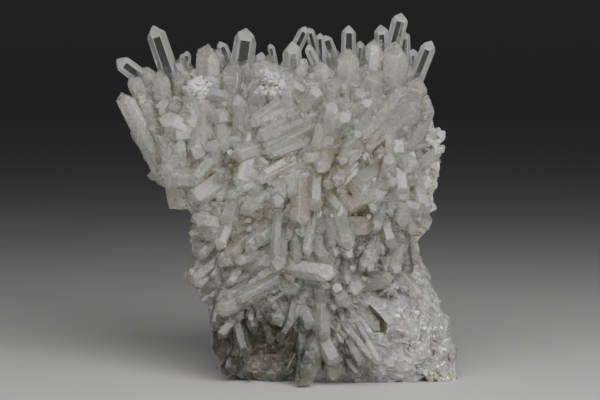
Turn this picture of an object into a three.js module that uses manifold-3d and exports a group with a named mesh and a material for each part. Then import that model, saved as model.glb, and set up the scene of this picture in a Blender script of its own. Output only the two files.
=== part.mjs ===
// A quartz cluster: massive milky quartz that broke from a vein, grown over with six-sided
// crystals that fan out from the middle of its face. It is one piece of stone, so it is one mesh.
// Millimetres, +Z up. The crystal face looks along -Y, and the cluster stands on a flat cut at z = 0.

import * as THREE from "three";
import { mergeVertices } from "three/addons/utils/BufferGeometryUtils.js";
import Module from "manifold-3d";

const wasm = await Module();
wasm.setup();

const MERGE_DISTANCE = 1e-4;
const FLATNESS = 0.03; // faces within this distance of one plane are merged into it
const MILKY_WHITE = 0xd9d8d0;
const STONE_ROUGHNESS = 0.35;

// The massive quartz: its outline seen from the front, as x and z, round a point inside it.
const MIDDLE = { x: 8.5, z: 82.5 };
const OUTLINE = [
  [73, 115], [71.5, 129], [69.5, 140], [63.5, 145], [48.5, 151], [26, 152], [1, 149], [-24, 148],
  [-46.5, 145], [-61.5, 141], [-68, 130], [-69, 115], [-66.5, 104], [-58, 98], [-50.5, 91],
  [-47.5, 82.5], [-48, 67.5], [-48, 54], [-46, 45], [-40.5, 37.5], [-37.5, 27.5], [-35.5, 16],
  [-33, 4], [-24, -3], [1, -4], [26, -5], [56, -5], [85.5, -3], [85, 7], [81.5, 17.5], [78, 27.5],
  [74.5, 40], [71, 51], [66.5, 59], [64, 68.5], [69.5, 76], [72.5, 84], [71.5, 92.5], [74, 102.5],
];
const FRONT_DEPTH = 27;
const BACK_DEPTH = 31;
const FOOT_EXTRA_DEPTH = 8; // the foot is deeper than the top, and fades out at FOOT_HEIGHT
const FOOT_HEIGHT = 70;
const EDGE_ROUNDNESS = 2.6; // exponent of the rounded cross-section: 2 is an ellipse
const ROUGHNESS_HEIGHT = 1.9;
const BODY_DETAIL = 7;

// Flat faces where it broke out of the vein: a point of each, and the direction it faces.
const BREAKS = [
  [-36, 25, 120, -0.34, 1, 0.3],
  [34, 27, 112, 0.22, 1, 0.1],
  [10, 31, 48, -0.12, 1, -0.22],
  [58, 24, 44, 0.8, 1, -0.05],
  [-30, 20, 60, -0.9, 1, -0.1],
  [72, -20, 30, 0.6, -1, 0],
  [50, -28, 20, 0.2, -1, -0.15],
  [16, -31, 12, -0.1, -1, -0.15],
  [66, 12, 132, 0.8, 0.7, 0.5],
];

// Hollows in the front face: x, z, radius and depth.
const HOLLOWS = [
  [-9, 18, 15, 15],
  [60, 63, 9, 12],
  [47, 29, 7, 7],
  [36, 84, 8, 8],
  [40, 116, 9, 7],
  [12, 94, 9, 8],
  [-22, 134, 8, 6],
];

// Shape of a crystal: a six-sided prism with a six-sided point, whose faces are a little uneven.
const SIDES = 6;
const POINT_SLOPE = Math.tan(THREE.MathUtils.degToRad(51.8));
const ROOT_FLARE = 1.12; // width at the root over the width at the shoulder of the point
const ROOT_DEPTH = 7; // how far a crystal goes on below its root, into the massive quartz
const CORNER_OVER_FLAT = 1 / Math.sqrt(3); // a hexagon's corner radius over its width across flats
const UNEVEN_SHOULDER = 0.13; // how far a shoulder corner moves, as a share of the width
const SHOULDER_STEP = 2.1; // radians from one corner's move to the next; near a third of a turn
const UNEVEN_TIP = 0.1; // how far the tip stands off the axis, as a share of the width

// Crystals along the top edge and the sides, mostly clear.
// Each row: root x, y, z, tip x, y, z, width across flats, turn about its own axis in degrees.
const RIM_CRYSTALS = [
  [-58, 4, 148, -67.5, 3, 176.5, 10, 8],
  [-61, 1, 141.5, -85.3, -3, 160, 8, 20],
  [-51, 0, 150, -50.5, 0, 164.4, 4, 0],
  [-52.5, 1, 150, -53.2, 1, 163, 3, 25],
  [-28, 2, 154, -34, 2, 169, 5.4, 12],
  [-25, 1, 147, -20.5, 0, 175.5, 9.6, 24],
  [-6, 6, 153, -9, 6, 168, 3.6, 5],
  [-16, 4, 150, -13, 4, 164, 6, 15],
  [-3, 3, 152, 9.2, 3, 176.4, 5.8, 28],
  [17, 5, 152, 10.4, 5, 176.2, 4.6, 10],
  [3, -8, 146, 2, -13, 168.6, 9, 30],
  [17, -9, 150, 9.6, -13, 167, 4.6, 15],
  [17, 2, 150, 16, 1, 173.4, 5, 0],
  [26, 3, 152, 18.4, 2, 172, 5.2, 20],
  [29.5, 0, 148, 30.2, 0, 177, 7, 30],
  [34, 3, 150, 36.5, 4, 169.6, 5, 12],
  [39, 1, 150, 41.2, 0, 168.6, 4.8, 0],
  [48, 0, 145, 46.4, -1, 177.5, 7, 4],
  [49, 3, 152, 56.8, 3, 183, 7.6, 26],
  [58.5, 7, 150, 58, 8, 174.6, 6.6, 10],
  [62, 5, 146, 63, 6, 165.6, 5.4, 18],
  [62, -2, 145, 71.4, -5, 169.2, 7, 6],
  [66, -8, 115, 77.8, -12, 124.4, 6, 15],
  [66, 2, 108, 77, 1, 109, 5, 0],
  [64, -3, 101, 75, -5, 97.6, 6, 20],
  [66, -6, 88, 74, -9, 86, 7, 10],
  [12, -14, 146, -18.4, -24, 156.6, 9.6, 22],
  [-53, 8, 127, -76, 15, 156, 6, 10],
  [-40, 12, 142, -44, 16, 162, 6.4, 24],
  [-8, 14, 142, -10, 18, 163, 7, 3],
  [24, 14, 144, 23, 18, 166, 6.6, 17],
  [46, 14, 142, 50, 19, 167, 7.4, 9],
];

// Milky crystals of the face, given in the same way.
const FACE_CRYSTALS = [
  [-41, -6, 130, -39.5, -9, 167.6, 13, 0],
  [-60, -10, 118, -63, -12, 154.6, 8.6, 6],
  [-52, -8, 117, -53.5, -11, 154, 8.4, 22],
  [-64, -4, 122, -70.5, -5, 155, 7.4, 12],
  [-64, -8, 122, -77.4, -10, 151.6, 7.6, 28],
  [-64, -12, 108, -82, -15, 143.6, 9.4, 2],
  [-60, -6, 104, -77, -8, 127, 8.6, 18],
  [-58, -4, 102, -71.6, -6, 114.4, 8, 5],
  [-58, -2, 104, -70.4, -4, 102, 6.4, 10],
  [-57, 0, 104, -65, -2, 97.6, 6, 25],
  [-56, -16, 95, -59.5, -25, 119, 8.2, 8],
  [-49, -16, 96, -52, -26, 120.6, 8.4, 20],
  [-42.5, -14, 134, -44.5, -32, 111, 9.6, 4],
  [-36, -18, 99, -34.4, -31, 118, 6.2, 15],
  [-34, -16, 136, -30.5, -33, 115, 7, 26],
  [-27, -24, 104, -36, -36, 106.6, 3.8, 0],
  [-29, -18, 88, -47.8, -26, 89.4, 8.2, 29],
  [-18, -16, 75, -42.4, -24, 79, 9.4, 3],
  [-30, -8, 51, -52, -12, 53.6, 11.4, 12],
  [-24, -20, 51, -33.6, -34, 43.4, 4.8, 0],
  [2, -26, 54, -35, -33, 37, 8.8, 27],
  [1, -30, 57, -25.4, -39, 43.4, 6.4, 8],
  [1, -28, 49, -11.4, -39, 41, 1.8, 0],
  [-13, -20, 46, -3, -37, 30.8, 7.8, 14],
  [-14, -20, 41, -8, -37, 22, 5.8, 26],
  [1, -14, 28, -8, -31, 19, 2.6, 5],
  [-18, -20, 42, -18.6, -33, 33, 4.4, 18],
  [-29, -12, 42, -33, -21, 21.4, 12.4, 6],
  [-27, -8, 28, -29.6, -17, 2.6, 9.4, 22],
  [19, -14, 28, 7, -35, 2, 10, 3],
  [22.5, -12, 28, 22.5, -30, 3.4, 10.8, 30],
  [-19, -27, 62, 23.2, -43, 57, 7.8, 5],
  [5, -28, 56, 20.6, -40, 50, 3.8, 20],
  [-3.5, -22, 84, -5, -45, 59, 8.4, 10],
  [-10, -20, 80, -19.6, -37, 65.4, 6.4, 28],
  [3, -22, 98, -23.4, -37, 87, 7.4, 0],
  [-3, -20, 97, -6, -43, 90, 8.2, 16],
  [0, -22, 107, -25.4, -34, 96, 6.4, 24],
  [6, -22, 108, 5.4, -41, 78.4, 9.8, 2],
  [6, -26, 84, 5.2, -38, 75.4, 3.8, 12],
  [12, -24, 92, 9.4, -41, 65.4, 4.4, 29],
  [21, -20, 123, 15, -35, 105, 9.4, 7],
  [31, -22, 116, 23, -39, 99, 6.4, 21],
  [6, -20, 124, -27.4, -33, 113, 8.4, 13],
  [7, -20, 132, -15.4, -36, 121, 7.4, 27],
  [2, -18, 142, -18.6, -33, 128, 7, 4],
  [0, -16, 140, 9.2, -25, 160.4, 5.2, 19],
  [46, -6, 118, 54, -10, 168.6, 12.6, 10],
  [55, -10, 112, 65, -14, 151.4, 11.4, 25],
  [51, -12, 92, 69, -15, 142, 11.6, 1],
  [28.5, -10, 122, 29.5, -13, 165, 10.6, 16],
  [18.5, -12, 122, 17, -18, 159, 8.6, 28],
  [38.5, -8, 122, 38, -12, 158, 9.6, 6],
  [-29, -8, 122, -28, -11, 157, 10.6, 22],
  [-13, -12, 122, -13, -18, 149, 10.4, 11],
  [36, -20, 117, 49.6, -36, 102.4, 3.2, 0],
  [52, -16, 131, 55, -30, 92, 9, 17],
  [56, -16, 98, 56, -35, 78.8, 8.8, 29],
  [48, -20, 93, 42, -39, 78, 5.8, 8],
  [24, -22, 88, 29.6, -43, 68.2, 7.4, 23],
  [17, -20, 83, 23.2, -38, 65, 6.4, 3],
  [38, -20, 67, 36.4, -44, 60.4, 4.8, 14],
  [45, -22, 72, 39, -41, 58, 4.8, 27],
  [57, -18, 71, 51.4, -37, 57, 5.4, 5],
  [29, -22, 48, 51.4, -39, 54.8, 7.4, 18],
  [31, -20, 60, 33, -43, 47, 8.4, 30],
  [29, -30, 30, 41, -40, 15, 2.6, 9],
  [37, -28, 26, 45.6, -36, 11, 4.4, 21],
  [19, -24, 48, 22.6, -35, 38, 4.6, 2],
  [-31, -12, 66, -46.4, -20, 59.4, 8.6, 15],
  [-36, -8, 74, -49, -14, 70, 8, 26],
  [60, -14, 106, 68, -24, 84, 8, 7],
  [62, -10, 120, 68, -20, 106, 7, 19],
];

// Along the top the crystals stand side by side like a palisade.
const PALISADE = {
  seed: 8837,
  count: 40,
  angle: [0.22 * Math.PI, 0.82 * Math.PI],
  rootReach: [0.42, 0.62], // shares of the way to the outline
  tipReach: [0.88, 1.05],
  depth: [-20, -2],
  width: [7, 12.5],
};
// Other crystals lie nearly flat on the face and overlap.
const LYING = {
  seed: 1277,
  count: 220,
  reach: 0.97,
  length: [9, 24],
  width: [4.8, 9.4],
  rise: 0.36, // how steeply they stand off the face
  overhang: 2, // how far past the outline their points may reach
};
const SLIMMEST_LYING = 8.4; // those that are slimmer are too small to matter for the form
// Behind the top edge they stand upright.
const TOP = {
  seed: 7411,
  count: 26,
  angle: [0.22 * Math.PI, 0.8 * Math.PI],
  reach: [0.84, 0.99],
  length: [5, 14],
  width: [3.2, 6.4],
};
const LOW_PLACE = 19; // no crystal with its root below this height leans down
const FAN = { x: 6, z: 100, spread: 62 }; // the point that they all lean away from
// Places without crystals: bare broken quartz and hollows, as x, z and radius.
const BARE_PLACES = [
  [62, 26, 27],
  [84, 10, 26],
  [-9, 18, 13],
  [60, 62, 7],
];
const BOX_MIDDLE_Y = -6.2; // the middle of the finished stone's depth, which goes onto the origin

// A small, fixed sequence of numbers between 0 and 1, so that every run gives the same stone.
function makeDice(seed) {
  let state = seed;
  return (low = 0, high = 1) => {
    state = (state * 16807) % 2147483647;
    return low + ((high - low) * state) / 2147483647;
  };
}

// Distance from MIDDLE to the outline in the direction of an angle.
const corners = OUTLINE.map(([x, z]) => ({
  angle: Math.atan2(z - MIDDLE.z, x - MIDDLE.x),
  reach: Math.hypot(x - MIDDLE.x, z - MIDDLE.z),
})).sort((a, b) => a.angle - b.angle);

function outlineReach(angle) {
  const turn = 2 * Math.PI;
  const next = corners.findIndex((corner) => corner.angle > angle);
  const after = next < 0 ? { ...corners[0], angle: corners[0].angle + turn } : corners[next];
  const last = corners[corners.length - 1];
  const before = next === 0 ? { ...last, angle: last.angle - turn } : corners.at(next - 1);
  const share = (angle - before.angle) / (after.angle - before.angle);
  return before.reach + (after.reach - before.reach) * share;
}

// How far the broken surface stands out at a point: a few crossed waves, with sharp crests.
function brokenSurface(x, y, z) {
  const wide = Math.abs(Math.sin(0.11 * x + 0.07 * z + 1.4 * Math.sin(0.06 * y + 0.05 * z)));
  const tight = Math.abs(Math.sin(0.19 * z - 0.13 * x + 1.1 * Math.sin(0.17 * y + 0.09 * x)));
  return ROUGHNESS_HEIGHT * (wide + tight - 1.2);
}

// Depth of the front face at x and z, less its hollows, for the share of the full depth given.
function frontDepth(x, z) {
  const foot = FOOT_EXTRA_DEPTH * THREE.MathUtils.clamp(1 - z / FOOT_HEIGHT, 0, 1);
  const dents = HOLLOWS.map(
    ([hx, hz, radius, depth]) =>
      depth * Math.exp(-((x - hx) ** 2 + (z - hz) ** 2) / radius ** 2),
  );
  return FRONT_DEPTH + foot - dents.reduce((sum, dent) => sum + dent, 0);
}

function backDepth(z) {
  return BACK_DEPTH + FOOT_EXTRA_DEPTH * THREE.MathUtils.clamp(1 - z / FOOT_HEIGHT, 0, 1);
}

// A point of the massive quartz's surface: across is 0 in the middle and 1 at the outline, and
// deep is -1 at the front and 1 at the back.
function surfacePoint(angle, across, deep) {
  const reach = outlineReach(angle) * across;
  const x = MIDDLE.x + reach * Math.cos(angle);
  const z = MIDDLE.z + reach * Math.sin(angle);
  const y = deep * (deep < 0 ? frontDepth(x, z) : backDepth(z));
  return new THREE.Vector3(x, y, z);
}

// Moves a point that lies beyond a broken face back onto it.
function breakOff(point) {
  for (const [x, y, z, facingX, facingY, facingZ] of BREAKS) {
    const facing = new THREE.Vector3(facingX, facingY, facingZ).normalize();
    const beyond = point.clone().sub(new THREE.Vector3(x, y, z)).dot(facing);
    if (beyond > 0) point.addScaledVector(facing, -beyond);
  }
  return point;
}

// The share of the full depth that the rounded cross-section has at a place across it.
function depthShare(across) {
  return (1 - across ** EDGE_ROUNDNESS) ** (1 / EDGE_ROUNDNESS);
}

function makeSolid(geometry) {
  const bare = geometry.clone();
  bare.deleteAttribute("normal");
  bare.deleteAttribute("uv");
  const merged = mergeVertices(bare, MERGE_DISTANCE);
  return new wasm.Manifold(
    new wasm.Mesh({
      numProp: 3,
      vertProperties: merged.attributes.position.array,
      triVerts: new Uint32Array(merged.index.array),
    }),
  );
}

function makeBody() {
  const ball = new THREE.IcosahedronGeometry(1, BODY_DETAIL);
  const place = ball.getAttribute("position");
  for (let i = 0; i < place.count; i++) {
    const flat = Math.hypot(place.getX(i), place.getZ(i));
    const deep = place.getY(i);
    const fit =
      (flat ** EDGE_ROUNDNESS + Math.abs(deep) ** EDGE_ROUNDNESS) ** (-1 / EDGE_ROUNDNESS);
    const angle = Math.atan2(place.getZ(i), place.getX(i));
    const point = breakOff(surfacePoint(angle, flat * fit, deep * fit));
    const outward = new THREE.Vector3(place.getX(i), deep, place.getZ(i)).normalize();
    point.addScaledVector(outward, brokenSurface(point.x, point.y, point.z));
    place.setXYZ(i, point.x, point.y, point.z);
  }
  return makeSolid(ball);
}

// One crystal, from a row of the lists above: a turned profile with six flat sides, whose shoulder
// corners and tip are then moved a little, each crystal's in its own way by its turn.
function makeCrystal([rootX, rootY, rootZ, tipX, tipY, tipZ, width, turn]) {
  const root = new THREE.Vector3(rootX, rootY, rootZ);
  const axis = new THREE.Vector3(tipX, tipY, tipZ).sub(root);
  const length = axis.length() + ROOT_DEPTH;
  axis.normalize();
  root.addScaledVector(axis, -ROOT_DEPTH);
  const corner = width * CORNER_OVER_FLAT;
  const shoulder = length - (width / 2) * POINT_SLOPE;
  const profile = [[0, 0], [corner * ROOT_FLARE, 0], [corner, shoulder], [0, length]];
  const crystal = new THREE.LatheGeometry(profile.map(([r, h]) => new THREE.Vector2(r, h)), SIDES);
  const place = crystal.getAttribute("position");
  for (let side = 0; side <= SIDES; side++) {
    const tipPoint = side * profile.length + 3;
    const shoulderPoint = tipPoint - 1;
    const uneven = Math.sin(SHOULDER_STEP * (side % SIDES) + turn) * UNEVEN_SHOULDER * width;
    place.setY(shoulderPoint, shoulder + uneven);
    place.setX(tipPoint, Math.cos(turn) * UNEVEN_TIP * width);
    place.setZ(tipPoint, Math.sin(turn) * UNEVEN_TIP * width);
  }
  const upright = new THREE.Vector3(0, 1, 0);
  const side = upright.cross(axis).normalize().applyAxisAngle(axis, THREE.MathUtils.degToRad(turn));
  const across = axis.clone().cross(side);
  const pose = new THREE.Matrix4().makeBasis(across, axis, side).setPosition(root);
  return makeSolid(crystal.applyMatrix4(pose));
}

// Rows for the palisade, in the same form as the lists.
function palisadeRows() {
  const dice = makeDice(PALISADE.seed);
  const rows = [];
  for (let i = 0; i < PALISADE.count; i++) {
    const angle = dice(...PALISADE.angle);
    const rootReach = outlineReach(angle) * dice(...PALISADE.rootReach);
    const tipReach = outlineReach(angle) * dice(...PALISADE.tipReach);
    const depth = dice(...PALISADE.depth);
    const tipAngle = angle + dice(-0.05, 0.05);
    const tipDepth = depth - dice(0, 6);
    rows.push([
      MIDDLE.x + rootReach * Math.cos(angle),
      depth,
      MIDDLE.z + rootReach * Math.sin(angle),
      MIDDLE.x + tipReach * Math.cos(tipAngle),
      tipDepth,
      MIDDLE.z + tipReach * Math.sin(tipAngle),
      dice(...PALISADE.width),
      dice(0, 60),
    ]);
  }
  return rows;
}

// Rows for the crystals that lie on the face, leaning away from the fan's point.
function lyingRows() {
  const dice = makeDice(LYING.seed);
  const rows = [];
  for (let i = 0; i < LYING.count; i++) {
    const angle = dice(-Math.PI, Math.PI);
    const across = Math.sqrt(dice(0.01, 1)) * LYING.reach;
    const [leanX, leanY, leanZ] = [dice(-0.35, 0.35), dice(-0.25, 0.25), dice(-0.35, 0.35)];
    const length = dice(...LYING.length);
    const width = dice(...LYING.width);
    const turn = dice(0, 60);
    const spot = breakOff(surfacePoint(angle, across, -depthShare(across)));
    const bare = BARE_PLACES.some(([x, z, radius]) => Math.hypot(spot.x - x, spot.z - z) < radius);
    if (bare || (spot.z < LOW_PLACE && leanZ < 0)) continue;
    const outX = (spot.x - FAN.x) / FAN.spread;
    const outZ = (spot.z - FAN.z) / FAN.spread;
    const lean = new THREE.Vector3(outX + 2 * leanX, 0, outZ + 2 * leanZ).normalize();
    lean.y = leanY - LYING.rise;
    const tip = spot.clone().addScaledVector(lean.normalize(), length);
    const tipAngle = Math.atan2(tip.z - MIDDLE.z, tip.x - MIDDLE.x);
    const tipReach = Math.hypot(tip.x - MIDDLE.x, tip.z - MIDDLE.z);
    const inside = tipReach < outlineReach(tipAngle) + LYING.overhang;
    if (tip.z > 1 && inside) rows.push([...spot.toArray(), ...tip.toArray(), width, turn]);
  }
  return rows.filter((row) => row[6] > SLIMMEST_LYING);
}

// Rows for the crystals behind the top edge.
function topRows() {
  const dice = makeDice(TOP.seed);
  return Array.from({ length: TOP.count }, () => {
    const angle = dice(...TOP.angle);
    const across = dice(...TOP.reach);
    const [leanX, leanY] = [dice(-0.35, 0.35), dice(-0.25, 0.25)];
    const length = dice(...TOP.length);
    const width = dice(...TOP.width);
    const spot = breakOff(surfacePoint(angle, across, depthShare(across)));
    const lean = new THREE.Vector3((0.4 * (spot.x - FAN.x)) / FAN.spread + leanX, 0.25 + leanY, 1);
    const tip = spot.clone().addScaledVector(lean.normalize(), length);
    return [...spot.toArray(), ...tip.toArray(), width, dice(0, 60)];
  });
}

function standOnGround(stone) {
  const below = new THREE.BoxGeometry(400, 400, 100).translate(0, 0, -50);
  return stone.subtract(makeSolid(below));
}

// Crystals that cross can shut in a small space. The shell round everything is the stone itself,
// so keeping only that one fills such spaces.
function outerShell(stone) {
  return stone.decompose().reduce((best, shell) => (shell.volume() > best.volume() ? shell : best));
}

// Joining splits flat faces into many triangles, and this makes them whole again.
function mergeFlatFaces(stone) {
  return stone.asOriginal().simplify(FLATNESS);
}

const coverRows = [...palisadeRows(), ...lyingRows(), ...topRows()];
const crystalRows = [...RIM_CRYSTALS, ...FACE_CRYSTALS, ...coverRows];
const grown = crystalRows.reduce((stone, row) => stone.add(makeCrystal(row)), makeBody());
const standing = outerShell(mergeFlatFaces(standOnGround(grown))).getMesh();

const geometry = new THREE.BufferGeometry();
geometry.setAttribute("position", new THREE.BufferAttribute(standing.vertProperties, 3));
geometry.setIndex(new THREE.BufferAttribute(standing.triVerts, 1));
geometry.translate(0, -BOX_MIDDLE_Y, 0);
geometry.computeVertexNormals();

const milkyQuartz = new THREE.MeshStandardMaterial({
  color: MILKY_WHITE,
  roughness: STONE_ROUGHNESS,
  metalness: 0,
  flatShading: true,
});

const cluster = new THREE.Mesh(geometry, milkyQuartz);
cluster.name = "quartz_cluster";

const group = new THREE.Group();
group.add(cluster);
export default group;
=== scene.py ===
# %% [markdown]
# # A quartz cluster
#
# The stone is massive milky quartz that broke out of a vein. Its face and its top edge are grown over
# with six-sided crystals: milky ones on the face, and clear points along the top. Everything here is
# one stone, so the crystals are joined to the massive quartz as they are in nature.
#
# This first cell loads the solid that the stone was built as. Its box is the size that the finished
# stone keeps.

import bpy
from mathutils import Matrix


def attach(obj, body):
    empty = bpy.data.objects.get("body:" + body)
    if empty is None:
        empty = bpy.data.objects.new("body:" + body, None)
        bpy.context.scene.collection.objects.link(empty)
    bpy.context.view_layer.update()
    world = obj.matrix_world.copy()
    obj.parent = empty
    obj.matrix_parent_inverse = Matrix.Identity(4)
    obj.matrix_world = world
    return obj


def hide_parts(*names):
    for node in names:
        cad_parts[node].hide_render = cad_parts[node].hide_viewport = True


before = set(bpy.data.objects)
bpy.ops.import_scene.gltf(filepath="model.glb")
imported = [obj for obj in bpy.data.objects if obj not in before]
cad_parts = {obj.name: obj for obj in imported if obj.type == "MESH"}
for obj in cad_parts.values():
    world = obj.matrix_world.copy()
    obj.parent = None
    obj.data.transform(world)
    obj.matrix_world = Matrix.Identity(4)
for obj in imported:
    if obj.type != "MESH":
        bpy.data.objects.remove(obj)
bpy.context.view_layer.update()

# %% Tools and units
import math

import bmesh
import bpy
import numpy as np
from mathutils import Matrix, Vector, noise
from mathutils.bvhtree import BVHTree

MM = 0.001  # shapes are worked out in millimetres and set down in metres
NODE = "quartz_cluster"
BOX_MIDDLE_Y = -6.2  # the lists below put the face at -Y; this is the middle of the stone's depth
TO_FRAME = Matrix.Scale(MM, 4) @ Matrix.Translation((0, -BOX_MIDDLE_Y, 0))

# %% [markdown]
# A long lens from a little above shows the stone as a specimen picture does, without stretching the
# crystals that point at the viewer. The picture is three units wide to two high.

# %% Camera
PICTURE_WIDTH = 0.300  # metres across the picture, measured at the stone
AIM = Vector((0.006, 0.0, 0.090))
LENS = 100.0
SENSOR = 36.0
ABOVE = math.radians(4)

camera_data = bpy.data.cameras.new("camera")
camera_data.lens = LENS
camera_data.sensor_width = SENSOR
camera = bpy.data.objects.new("camera", camera_data)
distance = PICTURE_WIDTH * LENS / SENSOR
camera.location = AIM + distance * Vector((0, -math.cos(ABOVE), math.sin(ABOVE)))
camera.rotation_euler = (math.pi / 2 - ABOVE, 0, 0)
bpy.context.scene.collection.objects.link(camera)
bpy.context.scene.camera = camera
print("camera stands", round(distance, 3), "m away")

# %% [markdown]
# Clear quartz shows what is behind it, so the surroundings matter. Two soft lights close to the stone
# light the pale floor under it, a small one fills in the foot, and the floor falls off into a dim room.
# The clear points at the top then have dark middles and bright edges. The room is as dark at the height
# of the eye as the far floor, so no horizon shows.

# %% Light and floor
def soft_light(name, place, aim, size, power):
    data = bpy.data.lights.new(name, 'AREA')
    data.shape = 'RECTANGLE'
    data.size, data.size_y = size
    data.energy = power
    lamp = bpy.data.objects.new(name, data)
    lamp.location = place
    lamp.rotation_euler = (Vector(aim) - Vector(place)).to_track_quat('-Z', 'Y').to_euler()
    bpy.context.scene.collection.objects.link(lamp)


soft_light("overhead softbox", (0.03, -0.46, 0.46), (0.0, 0.0, 0.10), (1.00, 0.45), 4.8)
soft_light("front softbox", (0.34, -0.64, 0.46), (0.02, 0.0, 0.12), (0.42, 0.42), 2.2)
soft_light("low softbox", (0.32, -0.34, 0.06), (0.07, -0.02, 0.03), (0.20, 0.20), 0.5)

HORIZON = (0.020, 0.020, 0.021, 1)
CEILING = (0.040, 0.041, 0.043, 1)
world = bpy.data.worlds.new("dim room")
world.use_nodes = True
room = world.node_tree
upward = room.nodes.new('ShaderNodeSeparateXYZ')
room.links.new(room.nodes.new('ShaderNodeTexCoord').outputs["Generated"], upward.inputs["Vector"])
fade = room.nodes.new('ShaderNodeMix')
fade.data_type = 'RGBA'
fade.inputs[6].default_value = HORIZON
fade.inputs[7].default_value = CEILING
room.links.new(upward.outputs["Z"], fade.inputs["Factor"])
room.links.new(fade.outputs[2], room.nodes["Background"].inputs["Color"])
bpy.context.scene.world = world

FLOOR_SIZE = 12.0
floor_mesh = bpy.data.meshes.new("floor")
bm = bmesh.new()
bmesh.ops.create_grid(bm, x_segments=1, y_segments=1, size=FLOOR_SIZE / 2)
bm.to_mesh(floor_mesh)
bm.free()
floor = bpy.data.objects.new("floor", floor_mesh)
bpy.context.scene.collection.objects.link(floor)
floor_paint = bpy.data.materials.new("pale floor")
floor_paint.use_nodes = True
paint = floor_paint.node_tree.nodes["Principled BSDF"]
paint.inputs["Base Color"].default_value = (0.62, 0.61, 0.60, 1)
paint.inputs["Roughness"].default_value = 0.7
floor_mesh.materials.append(floor_paint)

# %% [markdown]
# Nature scatters crystals, but the same stone has to come out on every run. These dice give a fixed
# sequence of numbers for each seed.

# %% Dice
def make_dice(seed):
    state = seed

    def dice(low=0.0, high=1.0):
        nonlocal state
        state = state * 16807 % 2147483647
        return low + (high - low) * state / 2147483647

    return dice


def any_way(dice, reach=1):
    return Vector((dice(-reach, reach), dice(-reach, reach), dice(-reach, reach)))


# %% [markdown]
# ## The massive quartz
#
# The lump under the crystals is a round ball moved onto the stone's own outline: wide at the top,
# drawn in at the waist, and wide again at the foot. The ball has an even net of small triangles, which
# is what a broken surface needs. Planes then take off the flat faces where it broke out of the vein.

# %% Outline of the massive quartz, in millimetres
MIDDLE = (8.5, 82.5)
OUTLINE = [
    (73, 115), (71.5, 129), (69.5, 140), (63.5, 145), (48.5, 151), (26, 152), (1, 149), (-24, 148),
    (-46.5, 145), (-61.5, 141), (-68, 130), (-69, 115), (-66.5, 104), (-58, 98), (-50.5, 91),
    (-47.5, 82.5), (-48, 67.5), (-48, 54), (-46, 45), (-40.5, 37.5), (-37.5, 27.5), (-35.5, 16),
    (-33, 4), (-24, -3), (1, -4), (26, -5), (56, -5), (85.5, -3), (85, 7), (81.5, 17.5), (78, 27.5),
    (74.5, 40), (71, 51), (66.5, 59), (64, 68.5), (69.5, 76), (72.5, 84), (71.5, 92.5), (74, 102.5),
]
FRONT_DEPTH = 27
BACK_DEPTH = 31
FOOT_EXTRA_DEPTH = 8
FOOT_HEIGHT = 70
EDGE_ROUNDNESS = 2.6
ROUGHNESS_HEIGHT = 1.9

# Hollows in the front face: x, z, radius and depth.
HOLLOWS = [
    (-9, 18, 15, 15), (60, 63, 9, 12), (36, 84, 8, 8), (40, 116, 9, 7), (12, 94, 9, 8),
    (-22, 134, 8, 6),
]
# Flat broken faces: a point of each, and the direction it faces.
BREAKS = [
    ((-36, 25, 120), (-0.34, 1, 0.3)),
    ((34, 27, 112), (0.22, 1, 0.1)),
    ((10, 31, 48), (-0.12, 1, -0.22)),
    ((58, 24, 44), (0.8, 1, -0.05)),
    ((-30, 20, 60), (-0.9, 1, -0.1)),
    ((72, -20, 30), (0.6, -1, 0)),
    ((50, -28, 20), (0.2, -1, -0.15)),
    ((16, -31, 12), (-0.1, -1, -0.15)),
    ((66, 12, 132), (0.8, 0.7, 0.5)),
]
break_planes = [(Vector(point), Vector(facing).normalized()) for point, facing in BREAKS]
corners = sorted(
    (math.atan2(z - MIDDLE[1], x - MIDDLE[0]), math.hypot(x - MIDDLE[0], z - MIDDLE[1]))
    for x, z in OUTLINE
)
corner_angles = [angle for angle, reach in corners]
corner_reaches = [reach for angle, reach in corners]


def outline_reach(angle):
    return np.interp(angle, corner_angles, corner_reaches, period=math.tau)


def foot_share(z):
    return min(max(1 - z / FOOT_HEIGHT, 0), 1)


def front_depth(x, z):
    dents = sum(
        depth * math.exp(-((x - hx) ** 2 + (z - hz) ** 2) / radius**2)
        for hx, hz, radius, depth in HOLLOWS
    )
    return FRONT_DEPTH + FOOT_EXTRA_DEPTH * foot_share(z) - dents


def surface_point(angle, across, deep):
    """A point of the rounded lump: across is 1 at the outline, deep is -1 at the front."""
    reach = outline_reach(angle) * across
    x = MIDDLE[0] + reach * math.cos(angle)
    z = MIDDLE[1] + reach * math.sin(angle)
    depth = front_depth(x, z) if deep < 0 else BACK_DEPTH + FOOT_EXTRA_DEPTH * foot_share(z)
    return Vector((x, deep * depth, z))


def depth_share(across):
    return (1 - across**EDGE_ROUNDNESS) ** (1 / EDGE_ROUNDNESS)


def break_off(point):
    for place, facing in break_planes:
        beyond = (point - place).dot(facing)
        if beyond > 0:
            point = point - beyond * facing
    return point


def face_point(angle, across):
    return break_off(surface_point(angle, across, -depth_share(across)))


def from_middle(beside):
    """The direction of a point beside the middle, and how far out it is, as a share of the outline."""
    angle = math.atan2(beside.z, beside.x)
    return angle, beside.length / outline_reach(angle)


def broken_surface(x, y, z):
    wide = abs(math.sin(0.11 * x + 0.07 * z + 1.4 * math.sin(0.06 * y + 0.05 * z)))
    tight = abs(math.sin(0.19 * z - 0.13 * x + 1.1 * math.sin(0.17 * y + 0.09 * x)))
    return ROUGHNESS_HEIGHT * (wide + tight - 1.2)


# %% [markdown]
# Quartz has no cleavage, so it breaks into small tilted facets and steps. `chips` makes them: it finds
# the nearest of many scattered seeds, and tilts the surface round each seed its own way.

# %% The lump, with its broken surface
CHIPS = [(11.0, 0.26), (4.2, 0.34)]  # size of the chips in millimetres, and how steeply they tilt
ROUGH_FOOT = (76, 20, 24)  # x, z and radius of the part of the foot that broke most roughly
FOOT_ROUGHNESS = 1.3
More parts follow.
